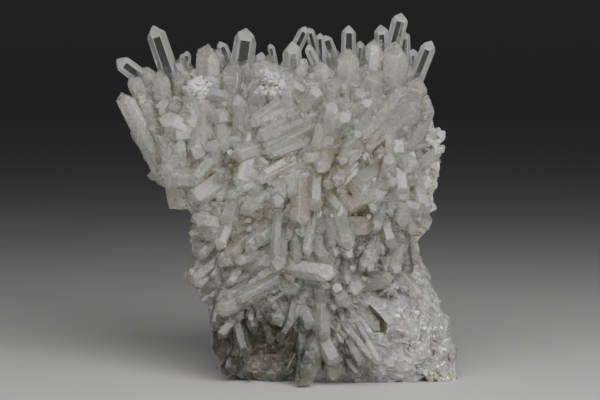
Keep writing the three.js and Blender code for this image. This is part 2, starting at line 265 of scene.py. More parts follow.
# The ready-made vector noise differs from run to run, so three places of the plain noise are read.
TILT_STEPS = [Vector((9.3, -1.5, -8.0)), Vector((0, 0, 0)), Vector((6.3, 0.2, -2.7))]
NET_FINENESS = 7


def chips(point, size, steepness):
    place = point / size
    seed = noise.voronoi(place)[1][0]
    tilt = Vector([noise.noise(seed * 7.3 + step) for step in TILT_STEPS])
    return (place - seed).dot(tilt) * size * steepness


def roughness_at(point):
    x, z, radius = ROUGH_FOOT
    return 1 + FOOT_ROUGHNESS * math.exp(-((point.x - x) ** 2 + (point.z - z) ** 2) / radius**2)


def make_lump():
    bm = bmesh.new()
    bmesh.ops.create_icosphere(bm, subdivisions=NET_FINENESS, radius=1.0)
    for vert in bm.verts:
        outward = vert.co.normalized()
        flat = math.hypot(outward.x, outward.z)
        fit = (flat**EDGE_ROUNDNESS + abs(outward.y) ** EDGE_ROUNDNESS) ** (-1 / EDGE_ROUNDNESS)
        angle = math.atan2(outward.z, outward.x)
        vert.co = break_off(surface_point(angle, flat * fit, outward.y * fit))
    bm.normal_update()
    for vert in bm.verts:
        rough = roughness_at(vert.co) * sum(chips(vert.co, *chip) for chip in CHIPS)
        vert.co += (broken_surface(*vert.co) + rough) * vert.normal
    return bm


# %% [markdown]
# ## One crystal
#
# A quartz crystal always has the same angles: six sides at 120 degrees, and a point of six faces, each
# 51.8 degrees away from the level. What differs is how far each face has grown. So a crystal is a block
# that is shaved by twelve planes: the directions are fixed, and the dice give the distances. Three faces
# of the point are usually large and meet in one tip, and the three between them stay small.

# %% Shaving a crystal
SIDES = 6
POINT_FACE_TILT = math.radians(51.8)
SIDE_REACH = (0.80, 1.06)  # how far out each side has grown, as a share of half the width
ROOT_FLARE = (0.04, 0.30)  # the root is wider than the shoulder by a share in this range
ROOT_DEPTH = 7  # how far a crystal goes on below its root, into the massive quartz
BLUNT_SLOPE = 1.6  # how steep the break may be where a crystal lost the end of its point
BLUNT_DEPTH = 0.22  # how far down it broke, as a share of its width
POINT_LIFTS = [(0.0, 0.12), (0.14, 0.40)]  # three faces meet in the point, three small ones lie lower
SMALLEST_EDGE = 0.16  # millimetres
WORN, TIP, SIDE = 1.0, 0.5, 0.0  # marks for the faces: a worn edge, a face of the point, a side


def shave(bm, point, facing):
    """Takes away what lies beyond a plane and closes the cut with one flat face."""
    cut = bmesh.ops.bisect_plane(
        bm, geom=bm.verts[:] + bm.edges[:] + bm.faces[:], dist=1e-5,
        plane_co=point, plane_no=facing, clear_outer=True,
    )
    rim = [item for item in cut["geom_cut"] if isinstance(item, bmesh.types.BMEdge)]
    if len(rim) > 2:
        bmesh.ops.contextual_create(bm, geom=rim)


def crystal_pose(row):
    root, tip, turn = Vector(row[0:3]), Vector(row[3:6]), math.radians(row[7])
    axis = (tip - root).normalized()
    side = Matrix.Rotation(turn, 3, axis) @ Vector((0, 1, 0)).cross(axis).normalized()
    turned = Matrix((side, axis.cross(side), axis)).transposed().to_4x4()
    return Matrix.Translation(root - ROOT_DEPTH * axis) @ turned


def is_broad(face, width):
    return face.calc_area() > width * max(edge.calc_length() for edge in face.edges)


def make_crystal(row, dice, rounding, blunt_share, rim):
    length = (Vector(row[3:6]) - Vector(row[0:3])).length + ROOT_DEPTH
    width = row[6]
    bm = bmesh.new()
    bmesh.ops.create_cube(bm, size=1.0)
    bmesh.ops.translate(bm, verts=bm.verts, vec=(0, 0, 0.5))
    bmesh.ops.scale(bm, verts=bm.verts, vec=(3 * width, 3 * width, 1.2 * length))
    flare = dice(*ROOT_FLARE)
    ways = [math.tau * number / SIDES for number in range(SIDES)]
    ways = [Vector((math.cos(angle), math.sin(angle), 0)) for angle in ways]
    for out in ways:
        reach = width / 2 * dice(*SIDE_REACH)
        lean = Vector((0, 0, flare * reach / length))
        shave(bm, out * reach + Vector((0, 0, length)), out + lean)
    for number, out in enumerate(ways):
        lift = width * dice(*POINT_LIFTS[number % 2])
        steep = out * math.sin(POINT_FACE_TILT) + Vector((0, 0, math.cos(POINT_FACE_TILT)))
        shave(bm, Vector((0, 0, length + lift)), steep)
    slope = Vector((dice(-BLUNT_SLOPE, BLUNT_SLOPE), dice(-BLUNT_SLOPE, BLUNT_SLOPE), 1))
    if dice() < blunt_share:
        shave(bm, Vector((0, 0, length - BLUNT_DEPTH * width)), slope)
    bmesh.ops.remove_doubles(bm, verts=bm.verts, dist=SMALLEST_EDGE)
    bm.normal_update()
    mark = bm.faces.layers.float.new("edge")
    for face in bm.faces:
        face[mark] = TIP if face.normal.z > 0.3 else SIDE
    if rounding:
        edges = [edge for edge in bm.edges if max(vert.co.z for vert in edge.verts) > 1]
        worn = bmesh.ops.bevel(
            bm, geom=edges, offset=rounding * width, offset_type='OFFSET', affect='EDGES', segments=1,
            profile=0.5, material=-1, clamp_overlap=True,
        )
        for face in worn["faces"]:
            face[mark] = WORN
    if rim:
        sides = [face for face in bm.faces if face[mark] == SIDE and is_broad(face, 3 * rim * width)]
        border = bmesh.ops.inset_individual(
            bm, faces=sides, thickness=rim * width, use_even_offset=True)
        for face in border["faces"]:
            face[mark] = TIP
    bm.transform(crystal_pose(row))
    return bm


# %% [markdown]
# ## Where the crystals stand
#
# Each row is one crystal: its root, its tip, its width across the flats, all in millimetres, and its
# turn about its own axis in degrees.

# %% The clear points of the top edge and the sides
RIM_CRYSTALS = [
    [-58, 4, 148, -67.5, 3, 176.5, 10, 8],
    [-61, 1, 141.5, -85.3, -3, 160, 8, 20],
    [-51, 0, 150, -50.5, 0, 164.4, 4, 0],
    [-52.5, 1, 150, -53.2, 1, 163, 3, 25],
    [-28, 2, 154, -34, 2, 169, 5.4, 12],
    [-25, 1, 147, -20.5, 0, 175.5, 9.6, 24],
    [-6, 6, 153, -9, 6, 168, 3.6, 5],
    [-16, 4, 150, -13, 4, 164, 6, 15],
    [-3, 3, 152, 9.2, 3, 176.4, 5.8, 28],
    [17, 5, 152, 10.4, 5, 176.2, 4.6, 10],
    [3, -8, 146, 2, -13, 168.6, 9, 30],
    [17, -9, 150, 9.6, -13, 167, 4.6, 15],
    [17, 2, 150, 16, 1, 173.4, 5, 0],
    [26, 3, 152, 18.4, 2, 172, 5.2, 20],
    [29.5, 0, 148, 30.2, 0, 177, 7, 30],
    [34, 3, 150, 36.5, 4, 169.6, 5, 12],
    [39, 1, 150, 41.2, 0, 168.6, 4.8, 0],
    [48, 0, 145, 46.4, -1, 177.5, 7, 4],
    [49, 3, 152, 56.8, 3, 183, 7.6, 26],
    [58.5, 7, 150, 58, 8, 174.6, 6.6, 10],
    [62, 5, 146, 63, 6, 165.6, 5.4, 18],
    [62, -2, 145, 71.4, -5, 169.2, 7, 6],
    [66, -8, 115, 77.8, -12, 124.4, 6, 15],
    [66, 2, 108, 77, 1, 109, 5, 0],
    [64, -3, 101, 75, -5, 97.6, 6, 20],
    [66, -6, 88, 74, -9, 86, 7, 10],
    [12, -14, 146, -18.4, -24, 156.6, 9.6, 22],
    [-53, 8, 127, -76, 15, 156, 6, 10],
    [-40, 12, 142, -44, 16, 162, 6.4, 24],
    [-8, 14, 142, -10, 18, 163, 7, 3],
    [24, 14, 144, 23, 18, 166, 6.6, 17],
    [46, 14, 142, 50, 19, 167, 7.4, 9],
]

# %% The milky crystals of the face
FACE_CRYSTALS = [
    [-41, -6, 130, -39.5, -9, 167.6, 13, 0],
    [-60, -10, 118, -63, -12, 154.6, 8.6, 6],
    [-52, -8, 117, -53.5, -11, 154, 8.4, 22],
    [-64, -4, 122, -70.5, -5, 155, 7.4, 12],
    [-64, -8, 122, -77.4, -10, 151.6, 7.6, 28],
    [-64, -12, 108, -82, -15, 143.6, 9.4, 2],
    [-60, -6, 104, -77, -8, 127, 8.6, 18],
    [-58, -4, 102, -71.6, -6, 114.4, 8, 5],
    [-58, -2, 104, -70.4, -4, 102, 6.4, 10],
    [-57, 0, 104, -65, -2, 97.6, 6, 25],
    [-56, -16, 95, -59.5, -25, 119, 8.2, 8],
    [-49, -16, 96, -52, -26, 120.6, 8.4, 20],
    [-42.5, -14, 134, -44.5, -32, 111, 9.6, 4],
    [-36, -18, 99, -34.4, -31, 118, 6.2, 15],
    [-34, -16, 136, -30.5, -33, 115, 7, 26],
    [-27, -24, 104, -36, -36, 106.6, 3.8, 0],
    [-29, -18, 88, -47.8, -26, 89.4, 8.2, 29],
    [-18, -16, 75, -42.4, -24, 79, 9.4, 3],
    [-30, -8, 51, -52, -12, 53.6, 11.4, 12],
    [-24, -20, 51, -33.6, -34, 43.4, 4.8, 0],
    [2, -26, 54, -35, -33, 37, 8.8, 27],
    [1, -30, 57, -25.4, -39, 43.4, 6.4, 8],
    [1, -28, 49, -11.4, -39, 41, 1.8, 0],
    [-13, -20, 46, -3, -37, 30.8, 7.8, 14],
    [-14, -20, 41, -8, -37, 22, 5.8, 26],
    [1, -14, 28, -8, -31, 19, 2.6, 5],
    [-17, -20, 42, -18.6, -33, 33, 4.4, 18],
    [-29, -12, 42, -33, -21, 21.4, 12.4, 6],
    [-27, -8, 28, -29.6, -17, 2.6, 9.4, 22],
    [19, -14, 28, 7, -35, 2, 10, 3],
    [22.5, -12, 28, 22.5, -30, 3.4, 10.8, 30],
    [-19, -27, 62, 23.2, -43, 57, 7.8, 5],
    [5, -28, 56, 20.6, -40, 50, 3.8, 20],
    [-3.5, -22, 84, -5, -45, 59, 8.4, 10],
    [-10, -20, 80, -19.6, -37, 65.4, 6.4, 28],
    [3, -22, 98, -23.4, -37, 87, 7.4, 0],
    [-3, -20, 97, -6, -43, 90, 8.2, 16],
    [0, -22, 107, -25.4, -34, 96, 6.4, 24],
    [6, -22, 108, 5.4, -41, 78.4, 9.8, 2],
    [6, -26, 84, 5.2, -38, 75.4, 3.8, 12],
    [12, -24, 92, 9.4, -41, 65.4, 4.4, 29],
    [21, -20, 123, 15, -35, 105, 9.4, 7],
    [31, -22, 116, 23, -39, 99, 6.4, 21],
    [6, -20, 124, -27.4, -33, 113, 8.4, 13],
    [7, -20, 132, -15.4, -36, 121, 7.4, 27],
    [2, -18, 142, -18.6, -33, 128, 7, 4],
    [0, -16, 140, 9.2, -25, 160.4, 5.2, 19],
    [46, -6, 118, 54, -10, 168.6, 12.6, 10],
    [55, -10, 112, 65, -14, 151.4, 11.4, 25],
    [51, -12, 92, 69, -15, 142, 11.6, 1],
    [28.5, -10, 122, 29.5, -13, 165, 10.6, 16],
    [18.5, -12, 122, 17, -18, 159, 8.6, 28],
    [38.5, -8, 122, 38, -12, 158, 9.6, 6],
    [-29, -8, 122, -28, -11, 157, 10.6, 22],
    [-13, -12, 122, -13, -18, 149, 10.4, 11],
    [36, -20, 117, 49.6, -36, 102.4, 3.2, 0],
    [52, -16, 131, 55, -30, 92, 9, 17],
    [56, -16, 98, 56, -35, 78.8, 8.8, 29],
    [48, -20, 93, 42, -39, 78, 5.8, 8],
    [24, -22, 88, 29.6, -43, 68.2, 7.4, 23],
    [17, -20, 83, 23.2, -38, 65, 6.4, 3],
    [38, -20, 67, 36.4, -44, 60.4, 4.8, 14],
    [45, -22, 72, 39, -41, 58, 4.8, 27],
    [57, -18, 71, 51.4, -37, 57, 5.4, 5],
    [29, -22, 48, 51.4, -39, 54.8, 7.4, 18],
    [31, -20, 60, 33, -43, 47, 8.4, 30],
    [29, -30, 30, 41, -40, 15, 2.6, 9],
    [37, -28, 26, 45.6, -36, 11, 4.4, 21],
    [19, -24, 48, 22.6, -35, 38, 4.6, 2],
    [-31, -12, 66, -46.4, -20, 59.4, 8.6, 15],
    [-36, -8, 74, -49, -14, 70, 8, 26],
    [60, -14, 106, 68, -24, 84, 8, 7],
    [62, -10, 120, 68, -20, 106, 7, 19],
]

# %% [markdown]
# The rest of the surface is covered by smaller crystals. On the face they lie nearly flat and overlap like
# fallen sticks. They lean away from one point, so the whole cluster fans out from there. Behind the top
# edge they stand upright.

# %% Lying crystals and upright ones
FAN = (6, 100, 62)  # x and z of the point they lean away from, and the spread of the fan
BARE_PLACES = [(62, 26, 27), (84, 10, 26), (-9, 18, 13), (60, 62, 7)]
LOW_PLACE = 19  # no crystal with its root below this height leans down
OVERHANG = 2  # how far past the outline their points may reach
TOP_ANGLES = (0.22 * math.pi, 0.8 * math.pi)
MOULD_PLACE = (43.5, 30.5)  # x and z of the mould of a lost crystal, which stays free
MOULD_WIDTH = 9


def is_bare(spot):
    return any(math.hypot(spot.x - x, spot.z - z) < radius for x, z, radius in BARE_PLACES)


def lying_rows(seed, count, length_range, width_range, reach, rise):
    dice = make_dice(seed)
    rows = []
    for number in range(count):
        angle = dice(-math.pi, math.pi)
        across = math.sqrt(dice(0.01, 1)) * reach
        lean_x, lean_y, lean_z = dice(-0.35, 0.35), dice(-0.25, 0.25), dice(-0.35, 0.35)
        length = dice(*length_range)
        width = dice(*width_range)
        turn = dice(0, 60)
        spot = face_point(angle, across)
        if is_bare(spot) or (spot.z < LOW_PLACE and lean_z < 0):
            continue
        out_x = (spot.x - FAN[0]) / FAN[2]
        out_z = (spot.z - FAN[1]) / FAN[2]
        lean = Vector((out_x + 2 * lean_x, 0, out_z + 2 * lean_z)).normalized()
        lean.y = lean_y - rise
        tip = spot + lean.normalized() * length
        tip_angle = math.atan2(tip.z - MIDDLE[1], tip.x - MIDDLE[0])
        inside = math.hypot(tip.x - MIDDLE[0], tip.z - MIDDLE[1]) < outline_reach(tip_angle) + OVERHANG
        free = math.hypot(tip.x - MOULD_PLACE[0], tip.z - MOULD_PLACE[1]) > 1.2 * MOULD_WIDTH
        if tip.z > 1 and inside and free:
            rows.append([*spot, *tip, width, turn])
    return rows


def top_rows(seed, count, length_range, width_range):
    dice = make_dice(seed)
    rows = []
    for number in range(count):
        angle = dice(*TOP_ANGLES)
        across = dice(0.84, 0.99)
        lean_x, lean_y = dice(-0.35, 0.35), dice(-0.25, 0.25)
        length = dice(*length_range)
        width = dice(*width_range)
        spot = break_off(surface_point(angle, across, depth_share(across)))
        lean = Vector((0.4 * (spot.x - FAN[0]) / FAN[2] + lean_x, 0.25 + lean_y, 1))
        tip = spot + lean.normalized() * length
        rows.append([*spot, *tip, width, dice(0, 60)])
    return rows


cover_rows = lying_rows(1277, 220, (9, 24), (4.8, 9.4), 0.97, 0.36) + top_rows(7411, 26, (5, 14), (3.2, 6.4))
small_rows = lying_rows(2903, 360, (4, 12), (1.8, 4.2), 0.98, 0.6) + top_rows(2909, 90, (4, 12), (1.8, 4.2))
print(len(cover_rows), "crystals cover the surface, with", len(small_rows), "small ones between them")

# %% [markdown]
# Along the top the crystals stand side by side like a palisade. Their bodies have grown into each other,
# and only their points are free.

# %% The palisade
PALISADE_COUNT = 40
PALISADE_ANGLES = (0.22 * math.pi, 0.82 * math.pi)


def palisade_rows(seed):
    dice = make_dice(seed)
    rows = []
    for number in range(PALISADE_COUNT):
        angle = dice(*PALISADE_ANGLES)
        reach = outline_reach(angle)
        root_reach, tip_reach = reach * dice(0.42, 0.62), reach * dice(0.88, 1.05)
        depth = dice(-20, -2)
        root = [MIDDLE[0] + root_reach * math.cos(angle), depth, MIDDLE[1] + root_reach * math.sin(angle)]
        tip_angle = angle + dice(-0.05, 0.05)
        tip = [MIDDLE[0] + tip_reach * math.cos(tip_angle), depth - dice(0, 6),
               MIDDLE[1] + tip_reach * math.sin(tip_angle)]
        rows.append([*root, *tip, dice(7, 12.5), dice(0, 60)])
    return rows


wall_rows = palisade_rows(8837)

# %% [markdown]
# Quartz grows in bundles: round each large crystal stand shorter ones that are nearly parallel to it.
# They share its root, and they are kept on its inner side, so that the outline stays.

# %% Companions of the large crystals
COMPANION_LEAN = 0.12  # how far a companion may lean, as a share of its length


def companion_rows(rows, seed, each, share_range):
    dice = make_dice(seed)
    made = []
    for row in rows:
        root, tip, width = Vector(row[0:3]), Vector(row[3:6]), row[6]
        way = tip - root
        side = Vector((0, 1, 0)).cross(way).normalized()
        outward = Vector((tip.x - FAN[0], 0, tip.z - FAN[1]))
        for number in range(each):
            aside = Matrix.Rotation(dice(0, math.tau), 3, way.normalized()) @ side
            if aside.dot(outward) > 0:
                aside = -aside
            lean = any_way(dice, COMPANION_LEAN)
            share = dice(*share_range)
            new_root = root + aside * width * dice(0.5, 1.0)
            new_tip = new_root + share * (way + lean * way.length)
            new_tip.y = max(new_tip.y, tip.y + 1)
            if new_tip.z > 1.5 and not is_bare(new_tip):
                made.append([*new_root, *new_tip, width * dice(0.45, 0.9), dice(0, 60)])
    return made


bundle_rows = companion_rows(FACE_CRYSTALS, 3571, 3, (0.5, 0.95))
foot_rows = companion_rows(RIM_CRYSTALS, 911, 3, (0.2, 0.55))
print(len(bundle_rows), "companions on the face and", len(foot_rows), "round the clear points")

# %% [markdown]
# In the bare foot one crystal has broken out and left its mould, with its growth lines in the quartz. The
# mould is the same kind of shape as a crystal, but it is cut away.

# %% The mould of a lost crystal
MOULD_WAY = Vector((0.66, 0.1, -0.75))
MOULD_LENGTH = 13


def mould_row():
    away = Vector((MOULD_PLACE[0] - MIDDLE[0], 0, MOULD_PLACE[1] - MIDDLE[1]))
    spot = face_point(*from_middle(away))
    half = MOULD_WAY.normalized() * MOULD_LENGTH / 2
    return [*(spot - half + half * ROOT_DEPTH / MOULD_LENGTH), *(spot + half), MOULD_WIDTH, 14]


# %% [markdown]
# The outer corner of the foot broke into coarse sugar: small grains that point every way.

# %% Grains of the rough foot
GRAIN_COUNT = 320
GRAIN_SPREAD = 17
GRAIN_PLACES = [(74, 20, 0.6), (56, 44, 0.4)]  # x and z of each patch, and its share of the grains


def grain_row(spot, way, size, proud, turn):
    tip = spot + way * proud
    return [*(tip - 0.5 * size * way), *tip, size, turn]


def grain_rows(seed):
    dice = make_dice(seed)
    rows = []
    for x, z, share in GRAIN_PLACES:
        for number in range(int(share * GRAIN_COUNT)):
            turn, away = dice(0, math.tau), GRAIN_SPREAD * math.sqrt(dice())
            beside_x = x + away * math.cos(turn) - MIDDLE[0]
            beside_z = z + 1.2 * away * math.sin(turn) - MIDDLE[1]
            beside = Vector((beside_x, 0, beside_z))
            angle, across = from_middle(beside)
            way = any_way(dice).normalized()
            size, proud = dice(1.4, 3.4), dice(0.0, 1.2)
            if across < 0.97:
                spot = face_point(angle, across)
                outward = beside.normalized() * across**3
                outward.y = across**3 - 1.05
                way = (0.5 * way + outward.normalized()).normalized()
                rows.append(grain_row(spot, way, size, proud, dice(0, 60)))
    return rows


grains = grain_rows(4409)
print(len(grains), "grains on the rough foot")

# %% [markdown]
# ## Growing together
#
# A Boolean modifier can join a whole collection to one mesh. Its Manifold solver is quick and gives one
# closed skin, with nothing left inside. Each crystal's faces carry its number through the join, so that
# the finish can still follow every crystal's own axis.

# %% Joining
EDGE_ROUNDING = 0.036  # what is taken off the edges of the larger crystals, as a share of their width
CLEAR_EDGE_ROUNDING = 0.15
FROSTED_RIM = 0.03  # how wide the frosted rim round each clear face is, as a share of the width
SMALL_EDGE_ROUNDING = 0.0
BLUNT_SHARE = 0.06  # how many of the milky crystals lost the end of their point
CLEAR_COUNT = 26  # the first rows of the rim are clear points
FACE_ON = 30  # degrees: the turn at which a crystal shows one flat side to the front


def add_values(mesh, name, values, where='FACE'):
    mesh.attributes.new(name, 'FLOAT', where).data.foreach_set("value", values)


def read_values(data, label, each=1, kind=float):
    values = np.zeros(len(data) * each, dtype=kind)
    data.foreach_get(label, values)
    return values


def mesh_from(bm, name, number):
    mesh = bpy.data.meshes.new(name)
    bm.to_mesh(mesh)
    bm.free()
    add_values(mesh, "crystal", [float(number)] * len(mesh.polygons))
    return mesh


def is_closed(bm):
    return all(len(edge.link_faces) == 2 for edge in bm.edges)


def make_crystals(rows, first_number, seed, rounding, blunt_share=0.0, rim=0.0):
    dice = make_dice(seed)
    objects = []
    for number, row in enumerate(rows, first_number):
        bm = make_crystal(row, dice, rounding, blunt_share, rim)
        if is_closed(bm):
            mesh = mesh_from(bm, "crystal", number)
            objects.append(bpy.data.objects.new("crystal", mesh))
        else:
            print("left out an open crystal:", number)
            bm.free()
    return objects


def grow_together(base, parts, cutters=()):
    """Joins the parts to the base, cuts the cutters away, and gives back one closed mesh."""
    bpy.context.scene.collection.objects.link(base)
    for operation, objects in (('UNION', parts), ('DIFFERENCE', cutters)):
        if not objects:
            continue
        group = bpy.data.collections.new(operation.lower())
        bpy.context.scene.collection.children.link(group)
        for part in objects:
            group.objects.link(part)
        join = base.modifiers.new(operation.lower(), 'BOOLEAN')
        join.operation = operation
        join.solver = 'MANIFOLD'
        join.operand_type = 'COLLECTION'
        join.collection = group
    graph = bpy.context.evaluated_depsgraph_get()
    mesh = bpy.data.meshes.new_from_object(base.evaluated_get(graph))
    for part in [base, *parts, *cutters]:
        bpy.data.objects.remove(part)
    return mesh


GROUND_BLOCK = 400.0
below = bmesh.new()
bmesh.ops.create_cube(below, size=GROUND_BLOCK)
bmesh.ops.translate(below, verts=below.verts, vec=(0, 0, -GROUND_BLOCK / 2))
ground_block = bpy.data.objects.new("ground block", mesh_from(below, "ground block", 0))
large_rows = RIM_CRYSTALS[CLEAR_COUNT:] + FACE_CRYSTALS + cover_rows + wall_rows
large_rows += bundle_rows + foot_rows
large_count = len(large_rows)
milky_rows = large_rows + small_rows + grains + [mould_row()]
lump = bpy.data.objects.new("lump", mesh_from(make_lump(), "lump", 0))
lump.data.attributes.new("edge", 'FLOAT', 'FACE')
ground_block.data.attributes.new("edge", 'FLOAT', 'FACE')
large = make_crystals(large_rows, 1, 41, EDGE_ROUNDING, BLUNT_SHARE)
small = make_crystals(small_rows + grains, 1 + large_count, 43, SMALL_EDGE_ROUNDING, BLUNT_SHARE)
mould = make_crystals(milky_rows[-1:], len(milky_rows), 61, 0)
milky_mesh = grow_together(lump, large + small, [ground_block, *mould])

# %% [markdown]
# A few patches of the stone broke like crushed ice. Where their skin lies depends on all the crystals, so
# rays from the front find it once they have been joined, and each ray puts a small grain there.

# %% Crushed patches
CRUSHED_PLACES = [(-44, 146, 5.5), (-8, 149, 7), (74, 121, 5), (53, 45, 7)]  # x, z and radius
CRUSHED_COUNT = 80  # grains in each place
IN_FRONT = -100


def mesh_tree(mesh):
    return BVHTree.FromPolygons(
        [vert.co.copy() for vert in mesh.vertices], [face.vertices[:] for face in mesh.polygons])


def crushed_rows(mesh, seed):
    dice = make_dice(seed)
    tree = mesh_tree(mesh)
    rows = []
    for x, z, radius in CRUSHED_PLACES:
        for number in range(CRUSHED_COUNT):
            turn, away = dice(0, math.tau), radius * math.sqrt(dice())
            way = Vector((dice(-0.7, 0.7), -1, dice(-0.7, 0.7))).normalized()
            size, proud = dice(1.0, 2.4), dice(0.1, 0.7)
            start = Vector((x + away * math.cos(turn), IN_FRONT, z + away * math.sin(turn)))
            spot = tree.ray_cast(start, Vector((0, 1, 0)))[0]
            if spot is not None:
                rows.append(grain_row(spot, way, size, proud, dice(0, 60)))
    return rows


crushed = crushed_rows(milky_mesh, 7703)
crushed_grains = make_crystals(crushed, 1 + len(milky_rows), 67, 0)
milky_rows += crushed
milky_mesh = grow_together(bpy.data.objects.new("stone", milky_mesh), crushed_grains)
print("milky quartz:", len(milky_mesh.vertices), "points,", len(milky_mesh.polygons), "faces")

# %% [markdown]
# The clear points are joined to each other only, since they stay a piece of their own. Each of their broad
# sides gets a narrow frosted rim, as the photographed ones have.

# %% Joining the clear points
clear_rows = [[*row[:7], FACE_ON + 0.4 * (row[7] - 15)] for row in RIM_CRYSTALS[:CLEAR_COUNT]]
clear = make_crystals(clear_rows, 1, 47, CLEAR_EDGE_ROUNDING, rim=FROSTED_RIM)
clear_mesh = grow_together(clear[0], clear[1:])
print("clear quartz:", len(clear_mesh.vertices), "points,", len(clear_mesh.polygons), "faces")

# %% [markdown]
# The finish needs some things that the join can't carry. Each crystal's growth lines run across its own
# axis, so a UV map holds the distance round and along it. Every crystal has a tone of its own. `slant`
# says how far a face looks aside, and `massive` marks faces of the lump and of the grains. Dirt
# collects in the gaps and the gaps get painted shade, so `gap` holds how closed in each point is.

# %% Growth map, tone and gaps
GAP_REACH = 14.0  # millimetres: how far away a neighbour still shuts a point in
GAP_RAYS = 14
FACE_WAVE = (5.1, 7.3, 9.7)  # faces that look different ways differ in tone
FACE_SHARE = 0.25


def add_growth_map(mesh, rows, seed, grain_numbers=()):
    dice = make_dice(seed)
    poses = [Matrix.Identity(4)] + [crystal_pose(row) for row in rows]
    back = np.array([pose.inverted() for pose in poses])
    tones = np.array([0.5] + [dice() for row in rows])
    numbers = read_values(mesh.attributes["crystal"].data, "value").round().astype(int)
    normals = read_values(mesh.polygons, "normal", 3).reshape(-1, 3)
    wave = np.sin(normals @ FACE_WAVE + numbers)
    add_values(mesh, "tone", np.clip(tones[numbers] + FACE_SHARE * wave, 0, 1))
    add_values(mesh, "slant", 1 - np.abs(normals[:, 1]))
    add_values(mesh, "massive", np.isin(numbers, [0, *grain_numbers]).astype(float))
    owners = np.repeat(numbers, read_values(mesh.polygons, "loop_total", kind=int))
    points = read_values(mesh.vertices, "co", 3).reshape(-1, 3)
    loops = read_values(mesh.loops, "vertex_index", kind=int)
    spots = np.c_[points[loops], np.ones(len(loops))]
    local = np.einsum("nij,nj->ni", back[owners], spots)
    growth = mesh.uv_layers.new(name="growth")
    growth.data.foreach_set("uv", np.c_[local[:, 0] + local[:, 1], local[:, 2]].ravel())
    mesh.attributes.remove(mesh.attributes["crystal"])


def add_gaps(mesh):
    tree = mesh_tree(mesh)
    dice = make_dice(611)
    rays = [any_way(dice).normalized() for ray in range(GAP_RAYS)]
    gaps = []
    for vert in mesh.vertices:
        start = vert.co + vert.normal * 0.4
        shut = 0.0
        for ray in rays:
            way = ray if ray.dot(vert.normal) > 0 else -ray
            reach = tree.ray_cast(start, way, GAP_REACH)[3]
            if reach is not None:
                shut += 1 - reach / GAP_REACH
        gaps.append(shut / GAP_RAYS)
    add_values(mesh, "gap", gaps, 'POINT')
    print("gaps reach from", round(min(gaps), 2), "to", round(max(gaps), 2))


first_grain = 1 + large_count + len(small_rows)
first_crushed = 1 + len(milky_rows) - len(crushed)
grain_numbers = [*range(first_grain, first_grain + len(grains)),
                 *range(first_crushed, first_crushed + len(crushed))]
add_growth_map(milky_mesh, milky_rows, 53, grain_numbers)
add_growth_map(clear_mesh, clear_rows, 59)
add_gaps(milky_mesh)
add_gaps(clear_mesh)

# %% [markdown]
# ## The finish
#
# Effects that both kinds of quartz share are shader node groups. A group is a small recipe with named
# inputs and outputs; each material gives it its own values.

# %% Helpers for nodes
def new_group(name, inputs, *outputs):
    """Starts a group; an input is a number with its usual value, or a vector where that is None."""
    tree = bpy.data.node_groups.new(name, 'ShaderNodeTree')
    for label, value in inputs.items():
        kind = 'NodeSocketVector' if value is None else 'NodeSocketFloat'
        socket = tree.interface.new_socket(label, in_out='INPUT', socket_type=kind)
        if value is not None:
            socket.default_value = value
    for label in outputs:
        tree.interface.new_socket(label, in_out='OUTPUT', socket_type='NodeSocketFloat')
    return tree, tree.nodes.new('NodeGroupInput'), tree.nodes.new('NodeGroupOutput')


def feed(tree, socket, value):
    """Links a socket to another node's output, or sets a plain value on it."""
    if isinstance(value, bpy.types.NodeSocket):
        tree.links.new(value, socket)
    elif value is not None:
        socket.default_value = value


def calculate(tree, operation, first, second=None, third=None, clamp=False):
    node = tree.nodes.new('ShaderNodeMath')
    node.operation = operation
    node.use_clamp = clamp
    for socket, value in zip(node.inputs, (first, second, third)):
        feed(tree, socket, value)
    return node.outputs["Value"]


def vector_math(tree, operation, first, second=None, scale=None):
    node = tree.nodes.new('ShaderNodeVectorMath')
    node.operation = operation
    feed(tree, node.inputs[0], first)
    feed(tree, node.inputs[1], second)
    if scale is not None:
        feed(tree, node.inputs["Scale"], scale)
    return node


def rescale(tree, value, from_low, from_high, to_low=0.0, to_high=1.0):
    node = tree.nodes.new('ShaderNodeMapRange')
    node.interpolation_type = 'SMOOTHSTEP'
    for label, part in zip(("Value", "From Min", "From Max", "To Min", "To Max"),
                           (value, from_low, from_high, to_low, to_high)):
        feed(tree, node.inputs[label], part)
    return node.outputs["Result"]


def blend_colours(tree, share, first, second):
    node = tree.nodes.new('ShaderNodeMix')
    node.data_type = 'RGBA'
    feed(tree, node.inputs["Factor"], share)
    feed(tree, node.inputs[6], first)
    feed(tree, node.inputs[7], second)
    return node.outputs[2]


def in_steps_of(tree, vector, size):
    """The vector measured in steps of a size, so that a pattern on it has that size."""
    frequency = calculate(tree, 'DIVIDE', 1.0, size)
    return vector_math(tree, 'SCALE', vector, scale=frequency).outputs["Vector"]


def times(tree, first, second):
    return calculate(tree, 'MULTIPLY', first, second)


def split(tree, vector):
    node = tree.nodes.new('ShaderNodeSeparateXYZ')
    feed(tree, node.inputs["Vector"], vector)
    return node.outputs


def speckle(tree, place, scale, detail=2.0, roughness=0.5):
    node = tree.nodes.new('ShaderNodeTexNoise')
    feed(tree, node.inputs["Vector"], place)
    node.inputs["Scale"].default_value = scale
    node.inputs["Detail"].default_value = detail
    node.inputs["Roughness"].default_value = roughness
    return node.outputs["Fac"]


# %% [markdown]
# Growth lines are fine steps across the sides. A noise texture that is stretched round the crystal and
# squeezed along it gives them, because the growth map holds those two distances. The milk inside a
# crystal hangs in veils along its axis, which are the same noise stretched the other way.

